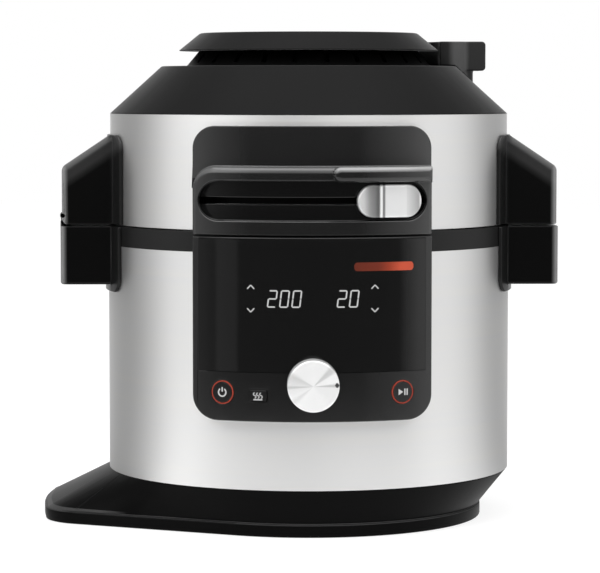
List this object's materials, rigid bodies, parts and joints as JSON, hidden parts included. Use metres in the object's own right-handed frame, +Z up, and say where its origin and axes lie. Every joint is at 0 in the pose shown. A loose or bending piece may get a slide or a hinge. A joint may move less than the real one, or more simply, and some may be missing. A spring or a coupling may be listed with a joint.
{
  "type": "electric pressure cooker",
  "caption": "Free-standing electric pressure cooker and air fryer with a side-hinged lid, locking slider, control panel with dial, side handles and a foot that spreads under the hinge.",
  "frame": {"origin": "on the pot's axis, at the floor under the rubber foot ring", "axes": "+Z up, -Y towards the front with the control panel, -X towards the lid's hinge"},
  "size_m": [0.4047, 0.3726, 0.38],
  "materials": {
    "brushed_steel": "fine brushing round the body",
    "black_plastic": "satin moulded",
    "gloss_black": "high gloss",
    "orange_trim": "gloss",
    "polished_metal": "polished",
    "spun_silver": "spun, radial lines",
    "rubber": "matt",
    "silicone": "matt",
    "bare_steel": "rolled sheet",
    "blackened_steel": "black oxide",
    "cast_aluminium": "cast",
    "motor_case": "zinc plated",
    "coated_pot": "speckled non-stick coat",
    "circuit_board": "solder mask",
    "dark_plastic": "moulded",
    "clear_smoke": "smoked clear",
    "float_red": "moulded"
  },
  "bodies": {
    "base": {"base_foot": "black_plastic", "rubber_feet": "rubber", "bottom_cover": "black_plastic", "bottom_screws": "bare_steel", "outer_wall": "brushed_steel", "rim_collar": "black_plastic", "lock_flange": "bare_steel", "inner_liner": "bare_steel", "cooking_pot": "coated_pot", "heater_plate": "cast_aluminium", "heater_posts": "bare_steel", "sensor_bracket": "bare_steel", "left_handle_base": "black_plastic", "right_handle_base": "black_plastic", "hinge_pin": "bare_steel", "control_panel": "black_plastic", "display_lens": "gloss_black", "button_rings": "orange_trim", "dial_encoder": "circuit_board", "control_board": "circuit_board", "board_standoffs": "bare_steel", "power_board": "circuit_board", "rear_cover": "black_plastic", "power_inlet": "black_plastic", "collector_bracket": "black_plastic"},
    "lid": {"lid_wall": "brushed_steel", "lid_bezel": "black_plastic", "lid_top_shell": "black_plastic", "vent_neck": "black_plastic", "top_cap": "black_plastic", "lid_plate": "bare_steel", "lid_inner_bowl": "bare_steel", "seal_ring": "silicone", "steam_pipe": "bare_steel", "filter_cap": "silicone", "element_guard": "bare_steel", "heating_element": "bare_steel", "motor_bracket": "bare_steel", "fan_motor": "motor_case", "left_handle_lid": "black_plastic", "right_handle_lid": "black_plastic", "lid_front_panel": "black_plastic"},
    "lock": {"lock_ring": "blackened_steel", "slider_knob": "polished_metal"},
    "fan": {"motor_shaft": "bare_steel", "convection_fan": "cast_aluminium", "cooling_fan": "dark_plastic"},
    "valve": {"release_valve": "black_plastic"},
    "float_pin": {"float_valve": "float_red"},
    "dial": {"control_dial": "spun_silver"},
    "power_key": {"power_button": "gloss_black"},
    "start_key": {"start_button": "gloss_black"},
    "warm_key": {"keep_warm_key": "gloss_black"},
    "collector": {"condensation_collector": "clear_smoke"},
    "sensor": {"temperature_sensor": "cast_aluminium"}
  },
  "joints": [
    {"name": "lid_hinge", "type": "hinge", "parent": "base", "child": "lid", "pos_m": [-0.1921, 0, 0.2376], "axis": [0, -1, 0], "range_deg": [0, 95]},
    {"name": "lock_turn", "type": "hinge", "parent": "lid", "child": "lock", "pos_m": [0, 0, 0.2535], "axis": [0, 0, 1], "range_deg": [-41, 0]},
    {"name": "fan_spin", "type": "hinge", "parent": "lid", "child": "fan", "pos_m": [0, 0, 0.3], "axis": [0, 0, 1], "continuous": true},
    {"name": "valve_lift", "type": "slide", "parent": "lid", "child": "valve", "axis": [0, 0, 1], "range_m": [0, 0.004]},
    {"name": "float_lift", "type": "slide", "parent": "lid", "child": "float_pin", "axis": [0, 0, 1], "range_m": [0, 0.004]},
    {"name": "dial_turn", "type": "hinge", "parent": "base", "child": "dial", "pos_m": [0, -0.17, 0.1185], "axis": [0, -1, 0], "continuous": true},
    {"name": "power_press", "type": "slide", "parent": "base", "child": "power_key", "axis": [0.3987, 0.9171, 0], "range_m": [0, 0.0008], "stiffness_N_per_m": 1000},
    {"name": "start_press", "type": "slide", "parent": "base", "child": "start_key", "axis": [-0.3987, 0.9171, 0], "range_m": [0, 0.0008], "stiffness_N_per_m": 1000},
    {"name": "warm_press", "type": "slide", "parent": "base", "child": "warm_key", "axis": [0.2419, 0.9703, 0], "range_m": [0, 0.0008], "stiffness_N_per_m": 1000},
    {"name": "collector_slide", "type": "slide", "parent": "base", "child": "collector", "axis": [0, 1, 0], "range_m": [0, 0.035]},
    {"name": "sensor_press", "type": "slide", "parent": "base", "child": "sensor", "axis": [0, 0, -1], "range_m": [0, 0.002], "stiffness_N_per_m": 1500}
  ]
}
